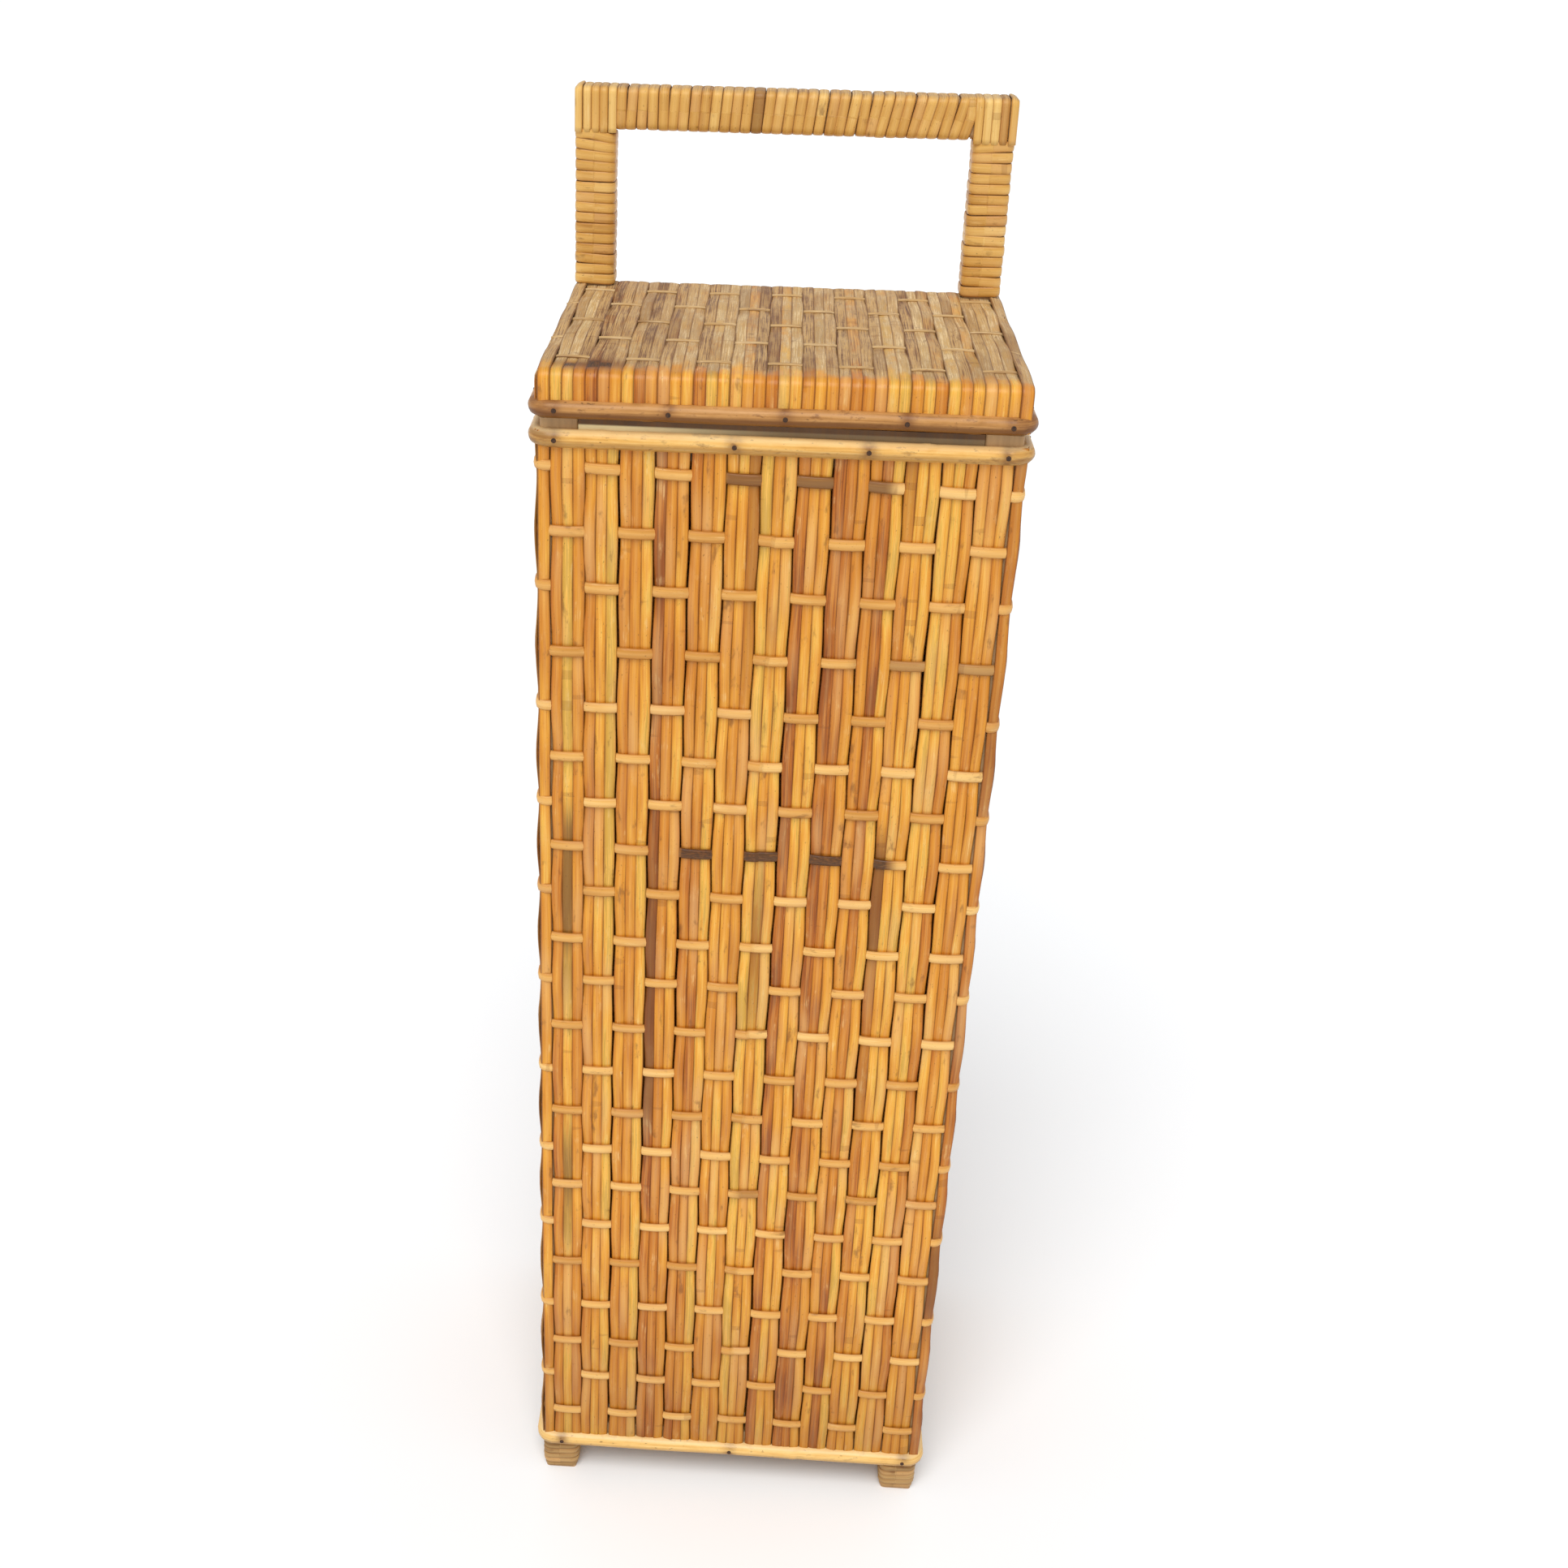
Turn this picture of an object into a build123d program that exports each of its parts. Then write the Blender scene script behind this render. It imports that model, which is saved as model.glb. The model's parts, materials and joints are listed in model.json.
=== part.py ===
from build123d import *
import os

# ------------------------------------------------------------------ sizes, mm
wall_width = 252.0        # over the woven walls, left to right
wall_depth = 212.0        # over the woven walls, front to back
weave = 3.0               # thickness of a woven skin
corner_radius = 4.0       # upright corners of the woven skins

post = 20.0               # side of a square corner post
rail = 14.0               # thickness of the frame rails
frame_top = 729.0         # top of the posts and top rails
rail_height = 20.0        # height of a top rail
skirt = 24.0              # lower edge of the walls above the floor
base_rail_height = 18.0
floor_thickness = 3.5
batten = (18.0, 14.0)     # width and height of a floor batten
batten_x = 40.0           # middle of each batten, left and right
wall_top = 724.0          # upper edge of the walls

pole = 5.0                # radius of the rim poles
pole_stand = -1.5         # centre of a split rim pole, outside the wall
back_stand = 4.2          # centre of the two hinge-side poles, outside the wall
base_pole_z = 29.0
body_pole_z = 719.0
lid_pole_z = 734.5

lid_gap = 0.3             # between the closed lid and the frame it rests on
lid_skin_bottom = 730.0
lid_skin_top = 755.0
lid_back_rail = 18.0
lid_side_rail = 16.0
crossbar = (14.0, 12.0)   # width and height
lid_edge_radius = 3.5

handle_width = 250.0      # over the cane wrapping
handle_bar = 24.0         # wrapped bar, seen from the front
handle_depth = 22.0       # wrapped bar, front to back
handle_front = 86.0       # front face of the wrapped handle
handle_top = 866.0
wrap = 2.0                # cane wound round the handle
foot_wrap = 1.8           # cane wound round the feet

lashing_x = 75.0          # centre of each hinge lashing, left and right
lashing_width = 12.0
lashing_radius = 7.0
lashing_clearance = 0.06  # round the hinge pole
lashing_room = 0.5        # slot each side of a lashing

rim_shank, rim_head = 0.8, 1.3                    # radii of the small rim nails
rim_length, hinge_length = 16.0, 21.0
frame_shank, frame_head, frame_length = 1.1, 2.2, 45.0
screw_shank, screw_head, screw_taper = 2.0, 4.0, 2.6
leg_screw, bar_screw = 50.0, 42.0                 # lengths of the handle screws

# Places of the rim nails: left to right in front, along a side, at the back.
body_nails = (-115, -23, 45, 115), (-72, 0, 72), (-110, -30, 30, 110)
base_nails = (-112, 0, 115), (-60, 60), (-112, 0, 112)
lid_nails = (-115, -57, 2, 63, 116), (-72, 0, 72), (-102, -30, 30, 102)

# Levels of the nails that hold the frame corners: through a rail, into a rail.
top_nail_levels = frame_top - 16, frame_top - 7.5
base_nail_levels = skirt + 14, skirt + 9.5
lid_nail_z = lid_skin_top - 10
lid_nail_x = 118.5

# ------------------------------------------------------------ derived limits
half_x, half_y = wall_width / 2, wall_depth / 2
frame_x, frame_y = half_x - weave, half_y - weave     # outer faces of the frame
lid_frame_bottom = frame_top + lid_gap
lid_frame_top = lid_skin_top - weave
hinge_y = half_y + back_stand


# ------------------------------------------------------------------- helpers
def block(x0, x1, y0, y1, z0, z1):
    """Box between two limits on each axis."""
    middle = ((x0 + x1) / 2, (y0 + y1) / 2, (z0 + z1) / 2)
    return Pos(*middle) * Box(abs(x1 - x0), abs(y1 - y0), abs(z1 - z0))


def mirrored(shape):
    """The same piece on the other side of the upright middle plane."""
    return mirror(shape, Plane.YZ)


def rounded_bar(x0, x1, y0, y1, z0, z1, along, radius):
    """Box whose four edges along one axis are rounded."""
    bar = block(x0, x1, y0, y1, z0, z1)
    return fillet(bar.edges().filter_by(along), radius)


def pole_profile(stand):
    """Round pole shaved flat where it lies against the weave."""
    return Circle(pole) - Pos(stand + pole, 0) * Rectangle(2 * pole, 4 * pole)


def bent_pole(z):
    """Pole bent round the front and both sides of the walls."""
    x, y = half_x + pole_stand, half_y + pole_stand
    path = FilletPolyline(
        (-x, half_y, z), (-x, -y, z), (x, -y, z), (x, half_y, z),
        radius=corner_radius + pole_stand,
    )
    start = Plane(origin=(-x, half_y, z), x_dir=(1, 0, 0), z_dir=(0, -1, 0))
    return sweep(start * pole_profile(pole_stand), path=path)


def back_pole(z, stand):
    """Straight pole along the back wall, closing the bent one."""
    reach = half_x + pole_stand + pole
    start = Plane(origin=(-reach, half_y + stand, z), x_dir=(0, -1, 0), z_dir=(1, 0, 0))
    return extrude(start * pole_profile(stand), 2 * reach)


def nail(at, outward, length, shank, head, sink, proud):
    """Nail with a low domed head; at is where its axis meets the surface."""
    button = Pos(0, 0, (proud - sink) / 2) * Cylinder(head, proud + sink)
    button = fillet(button.edges().sort_by(Axis.Z)[-1], 0.4 * (proud + sink))
    pin = Pos(0, 0, -sink - length / 2) * Cylinder(shank, length)
    return Plane(origin=at, z_dir=outward) * (button + pin)


def rim_nail(at, outward, length=rim_length):
    """Small nail through a rim pole and the weave into the frame."""
    return nail(at, outward, length, rim_shank, rim_head, 0.6, 0.3)


def frame_joint_nail(at, outward):
    """Longer nail, its head let in flush with the frame."""
    return nail(at, outward, frame_length, frame_shank, frame_head, 1.2, 0.0)


def rim_nails(z, places, stand, back_length):
    """All nails of one rim; the back pole has its own stand and nail length."""
    front, sides, back = places
    reach_x, reach_y = half_x + pole_stand + pole, half_y + pole_stand + pole
    back_y = half_y + stand + pole
    nails = [rim_nail((x, -reach_y, z), (0, -1, 0)) for x in front]
    nails += [rim_nail((x, back_y, z), (0, 1, 0), back_length) for x in back]
    for side in (-1, 1):
        nails += [rim_nail((side * reach_x, y, z), (side, 0, 0)) for y in sides]
    return nails


def wood_screw(x, y, z, up, length):
    """Countersunk screw driven along Z; z is the level of its head."""
    head = Pos(0, 0, -screw_taper / 2) * Cone(screw_shank, screw_head, screw_taper)
    pin = Pos(0, 0, -screw_taper - length / 2) * Cylinder(screw_shank, length)
    way = (0, 0, -1) if up else (0, 0, 1)
    return Plane(origin=(x, y, z), z_dir=way) * (head + pin)


def gather(solids):
    """Identical loose pieces kept as one part of several solids."""
    return Compound(children=[s for item in solids for s in item.solids()])


# --------------------------------------------------------- posts, rails, floor
def corner_post(side, end):
    """One of the four posts; its lower end is a foot."""
    x0, y0 = side * (frame_x - post), end * (frame_y - post)
    return rounded_bar(
        x0, side * frame_x, y0, end * frame_y, 0, frame_top, Axis.Z, 2.0
    )


def foot_wrapping(side, end):
    """Cane wound round the foot below the base rim pole."""
    t = foot_wrap
    outer = rounded_bar(
        side * (frame_x - post - t), side * (frame_x + t),
        end * (frame_y - post - t), end * (frame_y + t), 1.0, skirt - 0.2, Axis.Z, 3.8,
    )
    return outer - corner_post(side, end)


def frame_ring(z0, z1, name):
    """Four rails between the posts, at the top or at the bottom."""
    x_in, y_in = frame_x - post, frame_y - post
    return {
        f"{name}_front": block(-x_in, x_in, -frame_y, rail - frame_y, z0, z1),
        f"{name}_back": block(-x_in, x_in, frame_y - rail, frame_y, z0, z1),
        f"{name}_left": block(-frame_x, rail - frame_x, -y_in, y_in, z0, z1),
        f"{name}_right": block(frame_x - rail, frame_x, -y_in, y_in, z0, z1),
    }


def floor_batten(x):
    """Batten that carries the floor mat from front to back."""
    top = skirt + base_rail_height
    reach = frame_y - rail
    width, height = batten
    return block(x - width / 2, x + width / 2, -reach, reach, top - height, top)


def floor_mat():
    """Woven floor, cut out at the corners for the posts."""
    z0 = skirt + base_rail_height
    mat = block(-frame_x, frame_x, -frame_y, frame_y, z0, z0 + floor_thickness)
    for side in (-1, 1):
        for end in (-1, 1):
            mat -= block(
                side * (frame_x - post), side * half_x,
                end * (frame_y - post), end * half_y, z0 - 1, z0 + floor_thickness + 1,
            )
    return mat


# --------------------------------------------------------------- woven walls
def skin_band(x, y, width, depth, z0, z1):
    """Piece of the rounded outer skin inside an upright box."""
    skin = RectangleRounded(wall_width, wall_depth, corner_radius)
    return extrude(Pos(0, 0, z0) * (skin & (Pos(x, y) * Rectangle(width, depth))), z1 - z0)


def long_wall(end):
    """Front or back wall with the rounded upright corners."""
    return skin_band(0, end * (half_y - weave / 2), wall_width, weave, skirt, wall_top)


def side_skin(side, z0, z1):
    """Woven band along the left or right side, between the front and the back."""
    return skin_band(side * (half_x - weave / 2), 0, weave, 2 * frame_y, z0, z1)


def lashing_slots(z0, z1):
    """Room for the two hinge lashings between pole and frame."""
    reach = lashing_width / 2 + lashing_room
    return [
        block(x - reach, x + reach, frame_y, half_y + 1, z0, z1)
        for x in (-lashing_x, lashing_x)
    ]


# ----------------------------------------------------------------------- lid
def lid_skin():
    """Woven top, folded down at the front and at the back."""
    footprint = RectangleRounded(wall_width, wall_depth, corner_radius)
    skin = extrude(
        Pos(0, 0, lid_skin_bottom) * footprint, lid_skin_top - lid_skin_bottom
    )
    skin = fillet(skin.faces().sort_by(Axis.Z)[-1].edges(), lid_edge_radius)
    skin -= block(
        -half_x - 1, half_x + 1, -frame_y, frame_y, lid_skin_bottom - 1, lid_frame_top
    )
    inner, outer = handle_width / 2 - handle_bar + wrap, handle_width / 2 - wrap
    for side in (-1, 1):
        skin -= block(
            side * inner, side * outer, handle_front + wrap, half_y + 5,
            lid_frame_top, lid_skin_top + 1,
        )
    for slot in lashing_slots(lid_skin_bottom - 1, lid_pole_z + lashing_radius + 0.8):
        skin -= slot
    return skin


def lid_frame():
    """Four rails and a crossbar under the woven top."""
    z0, z1 = lid_frame_bottom, lid_frame_top
    front, back = rail - frame_y, frame_y - lid_back_rail
    side = frame_x - lid_side_rail
    width, height = crossbar
    return {
        "lid_rail_front": block(-frame_x, frame_x, -frame_y, front, z0, z1),
        "lid_rail_back": block(-frame_x, frame_x, back, frame_y, z0, z1),
        "lid_rail_left": block(-frame_x, -side, front, back, z0, z1),
        "lid_rail_right": block(side, frame_x, front, back, z0, z1),
        "lid_crossbar": block(-width / 2, width / 2, front, back, z1 - height, z1),
    }


def hinge_lashing(x):
    """Cane loop round the lid's back pole and the hinge pole."""
    start = (x - lashing_width / 2, hinge_y, 0)
    side = Plane(origin=start, x_dir=(0, 1, 0), z_dir=(1, 0, 0))
    low, high = Pos(0, body_pole_z), Pos(0, lid_pole_z)
    strap = low * Circle(lashing_radius) + high * Circle(lashing_radius)
    strap += Pos(0, (body_pole_z + lid_pole_z) / 2) * Rectangle(
        2 * lashing_radius, lid_pole_z - body_pole_z
    )
    strap -= low * Circle(pole + lashing_clearance)
    strap -= high * Circle(pole)
    return extrude(side * strap, lashing_width)


# -------------------------------------------------------------------- handle
core_in, core_out = handle_width / 2 - handle_bar + wrap, handle_width / 2 - wrap
core_y0, core_y1 = handle_front + wrap, handle_front + handle_depth - wrap
bar_z0, bar_z1 = handle_top - handle_bar, handle_top
leg_in, leg_out = handle_width / 2 - handle_bar, handle_width / 2
back_y = handle_front + handle_depth


def handle_leg():
    """Right leg, standing on the lid's back rail."""
    return rounded_bar(
        core_in, core_out, core_y0, core_y1, lid_frame_top, bar_z0 + wrap, Axis.Z, 2.0
    )


def handle_bar_core():
    """Top bar laid across both legs."""
    return rounded_bar(
        -core_out, core_out, core_y0, core_y1, bar_z0 + wrap, bar_z1 - wrap, Axis.X, 2.0
    )


def leg_wrapping():
    """Cane wound round the right leg."""
    tube = rounded_bar(
        leg_in, leg_out, handle_front, back_y, lid_skin_top, bar_z0, Axis.Z, 4.0
    )
    return tube - handle_leg()


def bar_wrapping():
    """Cane wound round the top bar between the corners."""
    tube = rounded_bar(
        -leg_in, leg_in, handle_front, back_y, bar_z0, bar_z1, Axis.X, 4.0
    )
    return tube - handle_bar_core()


def corner_wrapping():
    """Cane that covers the right corner of the handle."""
    cap = block(leg_in, leg_out, handle_front, back_y, bar_z0, bar_z1)
    top = cap.edges().group_by(Axis.Z)[-1]
    outer = cap.edges().group_by(Axis.X)[-1]
    rounded = top.filter_by(Axis.X) + outer.filter_by(Axis.Z) + top.sort_by(Axis.X)[-1:]
    return fillet(rounded, 4.0) - handle_bar_core() - handle_leg()


# ------------------------------------------------------------------ assembly
nodes = {}
places = {"left": -1, "right": 1}
ends = {"front": -1, "back": 1}

for end_name, end in ends.items():
    for side_name, side in places.items():
        nodes[f"corner_post_{end_name}_{side_name}"] = corner_post(side, end)
        nodes[f"foot_wrap_{end_name}_{side_name}"] = foot_wrapping(side, end)
nodes.update(frame_ring(frame_top - rail_height, frame_top, "top_rail"))
nodes.update(frame_ring(skirt, skirt + base_rail_height, "bottom_rail"))
nodes["floor_batten_left"] = floor_batten(-batten_x)
nodes["floor_batten_right"] = floor_batten(batten_x)
nodes["floor_mat"] = floor_mat()
nodes["wall_front"] = long_wall(-1)
nodes["wall_back"] = long_wall(1)
for slot in lashing_slots(body_pole_z - lashing_radius - 0.8, wall_top + 1):
    nodes["wall_back"] -= slot
nodes["wall_left"] = side_skin(-1, skirt, wall_top)
nodes["wall_right"] = side_skin(1, skirt, wall_top)
nodes["base_rim_pole"] = bent_pole(base_pole_z)
nodes["base_back_pole"] = back_pole(base_pole_z, pole_stand)
nodes["body_rim_pole"] = bent_pole(body_pole_z)
nodes["hinge_pole"] = back_pole(body_pole_z, back_stand)

nodes.update(lid_frame())
nodes["lid_weave"] = lid_skin()
nodes["lid_side_left"] = side_skin(-1, lid_skin_bottom, lid_frame_top)
nodes["lid_side_right"] = side_skin(1, lid_skin_bottom, lid_frame_top)
nodes["lid_rim_pole"] = bent_pole(lid_pole_z)
nodes["lid_back_pole"] = back_pole(lid_pole_z, back_stand)
nodes["handle_leg_right"] = handle_leg()
nodes["handle_leg_left"] = mirrored(handle_leg())
nodes["handle_bar"] = handle_bar_core()
nodes["leg_wrap_right"] = leg_wrapping()
nodes["leg_wrap_left"] = mirrored(leg_wrapping())
nodes["bar_wrap"] = bar_wrapping()
nodes["corner_wrap_right"] = corner_wrapping()
nodes["corner_wrap_left"] = mirrored(corner_wrapping())
nodes["hinge_lashing_left"] = hinge_lashing(-lashing_x)
nodes["hinge_lashing_right"] = hinge_lashing(lashing_x)

# Nails and screws, each in a hole of its own size.
rail_middle = frame_y - rail / 2
post_nail_x = frame_x - 5.5
body_rim = rim_nails(body_pole_z, body_nails, back_stand, hinge_length)
base_rim = rim_nails(base_pole_z, base_nails, pole_stand, rim_length)
lid_rim = rim_nails(lid_pole_z, lid_nails, back_stand, hinge_length)


def corner_nails(levels):
    """Two nails for each corner of the frame, one from each side."""
    nails = []
    for side in (-1, 1):
        for end in (-1, 1):
            from_side = side * frame_x, end * rail_middle, levels[0]
            from_end = side * post_nail_x, end * frame_y, levels[1]
            nails.append(frame_joint_nail(from_side, (side, 0, 0)))
            nails.append(frame_joint_nail(from_end, (0, end, 0)))
    return nails


def end_nails(places, z):
    """Nails through a front and a back rail into pieces between them."""
    return [
        frame_joint_nail((x, end * frame_y, z), (0, end, 0))
        for x in places
        for end in (-1, 1)
    ]


top_joints = corner_nails(top_nail_levels)
base_joints = corner_nails(base_nail_levels)
base_joints += end_nails((-batten_x, batten_x), skirt + base_rail_height - batten[1] / 2)
lid_joints = end_nails((-lid_nail_x, 0, lid_nail_x), lid_nail_z)

leg_x = (core_in + core_out) / 2
leg_y = (core_y0 + frame_y) / 2
bar_y = (core_y0 + core_y1) / 2
handle_screws = []
for side in (-1, 1):
    handle_screws.append(wood_screw(side * leg_x, leg_y, lid_frame_bottom, True, leg_screw))
    handle_screws.append(wood_screw(side * leg_x, bar_y, bar_z1 - wrap, False, bar_screw))

# Each set of fasteners with the pieces it passes through.
body_held = ("body_rim_pole", "hinge_pole", "wall_", "top_rail", "corner_post")
base_held = ("base_rim_pole", "base_back_pole", "wall_", "bottom_rail", "corner_post")
lid_held = ("lid_rim_pole", "lid_back_pole", "lid_weave", "lid_side", "lid_rail")
fasteners = {
    "body_rim_nails": (body_rim, body_held),
    "base_rim_nails": (base_rim, base_held),
    "lid_rim_nails": (lid_rim, lid_held),
    "top_frame_nails": (top_joints, ("top_rail", "corner_post")),
    "bottom_frame_nails": (base_joints, ("bottom_rail", "corner_post", "floor_batten")),
    "lid_frame_nails": (lid_joints, ("lid_rail", "lid_crossbar")),
    "handle_screws": (handle_screws, ("lid_rail_back", "handle_leg", "handle_bar")),
}
for tools, held in fasteners.values():
    for name in [n for n in nodes if n.startswith(held)]:
        box = nodes[name].bounding_box()
        for tool in tools:
            if box.overlaps(tool.bounding_box()):
                nodes[name] -= tool
nodes.update({name: gather(tools) for name, (tools, held) in fasteners.items()})

os.makedirs("parts", exist_ok=True)
for name, shape in nodes.items():
    export_step(shape, f"parts/{name}.step")
print(len(nodes), "parts written")
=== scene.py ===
import json
import math

import bpy
import numpy as np
from mathutils import Matrix, Vector


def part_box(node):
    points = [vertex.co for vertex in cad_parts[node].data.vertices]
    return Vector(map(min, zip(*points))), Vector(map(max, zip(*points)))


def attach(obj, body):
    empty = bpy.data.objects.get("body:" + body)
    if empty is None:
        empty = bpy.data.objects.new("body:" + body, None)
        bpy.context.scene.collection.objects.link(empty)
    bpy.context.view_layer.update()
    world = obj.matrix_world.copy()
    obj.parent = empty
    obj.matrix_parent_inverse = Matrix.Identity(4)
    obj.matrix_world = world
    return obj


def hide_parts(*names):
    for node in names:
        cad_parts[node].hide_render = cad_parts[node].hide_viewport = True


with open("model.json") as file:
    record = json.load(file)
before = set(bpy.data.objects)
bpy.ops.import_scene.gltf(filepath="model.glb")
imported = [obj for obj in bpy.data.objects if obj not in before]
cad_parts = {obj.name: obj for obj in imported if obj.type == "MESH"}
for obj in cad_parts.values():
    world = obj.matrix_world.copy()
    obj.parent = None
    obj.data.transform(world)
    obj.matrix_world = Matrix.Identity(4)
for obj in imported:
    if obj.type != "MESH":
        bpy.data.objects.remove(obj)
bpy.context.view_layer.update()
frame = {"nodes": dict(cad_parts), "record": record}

MM = 0.001
UP = np.array((0.0, 0.0, 1.0))

# ------------------------------------------------------------- sizes, millimetres
STRIP_GAP = 1.0           # dark gap between two groups of strips
STRIPS = 3                # strips in a group
AROUND = 50               # groups right round the body
WALL_ROWS = 22            # weaving strands from top to bottom
WALL_RELIEF = 1.15        # how far strips and strands swing in and out
TOP_ROWS = 5              # weaving strands across the lid
SKIN_DEPTH = 1.4          # middle of the woven layer under the outer face
STRIP_THICK = 1.8
STRAND_WIDE = 6.2
STRAND_THICK = 2.3
WRAP_PITCH = 6.0          # turns of cane on the handle
FOOT_PITCH = 4.1


def span(*names):
    """Lowest and highest corner of some CAD nodes together, in millimetres."""
    boxes = [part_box(name) for name in names]
    low = np.min([np.array(b[0]) for b in boxes], axis=0) / MM
    high = np.max([np.array(b[1]) for b in boxes], axis=0) / MM
    return low, high


walls_low, walls_high = span("wall_front", "wall_back", "wall_left", "wall_right")
lid_low, lid_high = span("lid_weave")
HALF_X, HALF_Y = walls_high[0], walls_high[1]


# --------------------------------------------------------------- smooth randomness
def wander(rng, where, step, size):
    """Smooth random offsets along a line, one new value about every step."""
    start, reach = where.min(), max(np.ptp(where), step)
    knots = np.arange(start - step, start + reach + 2 * step, step)
    values = rng.normal(0.0, size, len(knots))
    fine = np.interp(where, knots, values)
    shifted = np.interp(where - step / 2, knots, values)
    return (fine + shifted) / 2


# ------------------------------------------------------------ strips as real meshes
def cane_profile(fullness, points=8, flat=0.55):
    """Domed strip: rounded outside, flatter inside. Anticlockwise, half sizes of 1."""
    angle = np.linspace(0.0, math.pi, points)
    across = np.cos(angle)
    crown = np.sin(angle) ** fullness
    inside = [(-0.72, -flat), (0.0, -flat * 1.1), (0.72, -flat)]
    return np.array(list(zip(across, crown)) + inside)


def round_profile(points=12):
    """Round strand or pole."""
    angle = np.arange(points) * 2 * math.pi / points
    return np.column_stack((np.cos(angle), np.sin(angle)))


CANE = cane_profile(0.6)
WORN_CANE = cane_profile(0.35)
STRAND = round_profile(8)
POLE = round_profile(20)


class Bundle:
    """Strips gathered into one mesh. Each vertex knows where it is on its strip."""

    def __init__(self):
        self.points, self.quads, self.caps = [], [], []
        self.place, self.look = [], []
        self.count = 0

    def add(self, path, out, wide, thick, rng, profile=CANE, tone=None, stain=0.0,
            age=0.0, closed=False, start=None):
        """One strip along path, its crown towards out; wide and thick are full sizes."""
        path, out = np.asarray(path, float), np.asarray(out, float)
        if closed:
            along_path = np.roll(path, -1, 0) - np.roll(path, 1, 0)
        else:
            along_path = np.gradient(path, axis=0)
        along_path /= np.linalg.norm(along_path, axis=1)[:, None]
        out = out - along_path * np.sum(out * along_path, axis=1)[:, None]
        out /= np.linalg.norm(out, axis=1)[:, None]
        side = np.cross(out, along_path)
        n, p = len(path), len(profile)
        half_wide = np.broadcast_to(np.asarray(wide, float) / 2, (n,))
        half_thick = np.broadcast_to(np.asarray(thick, float) / 2, (n,))
        ring = (
            path[:, None, :]
            + side[:, None, :] * (half_wide[:, None] * profile[None, :, 0])[:, :, None]
            + out[:, None, :] * (half_thick[:, None] * profile[None, :, 1])[:, :, None]
        )
        steps = np.linalg.norm(np.diff(path, axis=0), axis=1)
        first = rng.uniform(0, 900) if start is None else start
        length = first + np.concatenate(([0.0], np.cumsum(steps)))
        seed = rng.uniform(0, 400)
        tone = rng.uniform(0, 1) if tone is None else tone
        place = np.empty((n, p, 3))
        place[:, :, 0] = half_wide[:, None] * profile[None, :, 0]
        place[:, :, 1] = length[:, None]
        place[:, :, 2] = seed
        look = np.empty((n, p, 3))
        for channel, value in enumerate((tone, stain, age)):
            value = np.asarray(value, float)
            look[:, :, channel] = value[:, None] if value.ndim == 1 else value
        self.points.append(ring.reshape(-1, 3))
        self.place.append(place.reshape(-1, 3))
        self.look.append(look.reshape(-1, 3))
        rows = n if closed else n - 1
        i, j = np.meshgrid(np.arange(rows), np.arange(p), indexing="ij")
        k, m = (i + 1) % n, (j + 1) % p
        quads = np.stack((i * p + j, i * p + m, k * p + m, k * p + j), axis=-1)
        self.quads.append(quads.reshape(-1, 4) + self.count)
        if not closed:
            self.caps.append((self.count + np.arange(p))[::-1].tolist())
            self.caps.append((self.count + (n - 1) * p + np.arange(p)).tolist())
        self.count += n * p

    def piece(self, name, material, body, slot, replaced=()):
        """The finished mesh object, riding on its body."""
        faces = np.concatenate(self.quads).tolist() + self.caps
        mesh = bpy.data.meshes.new(name)
        mesh.from_pydata((np.concatenate(self.points) * MM).tolist(), [], faces)
        for label, values in (("cane_place", self.place), ("cane_look", self.look)):
            layer = mesh.attributes.new(label, "FLOAT_VECTOR", "POINT")
            layer.data.foreach_set("vector", np.concatenate(values).astype(np.float32).ravel())
        mesh.polygons.foreach_set("use_smooth", np.ones(len(mesh.polygons), bool))
        mesh.materials.append(material)
        mesh.update()
        made = bpy.data.objects.new(name, mesh)
        bpy.context.scene.collection.objects.link(made)
        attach(made, body)
        if replaced:
            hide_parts(*replaced)
        return made


# ------------------------------------------------------------------ node materials
def linear(red, green, blue):
    """A colour given as seen on screen (0 to 255), for a shader socket."""
    out = []
    for value in (red, green, blue):
        c = value / 255
        out.append(c / 12.92 if c <= 0.04045 else ((c + 0.055) / 1.055) ** 2.4)
    return (*out, 1.0)


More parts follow.
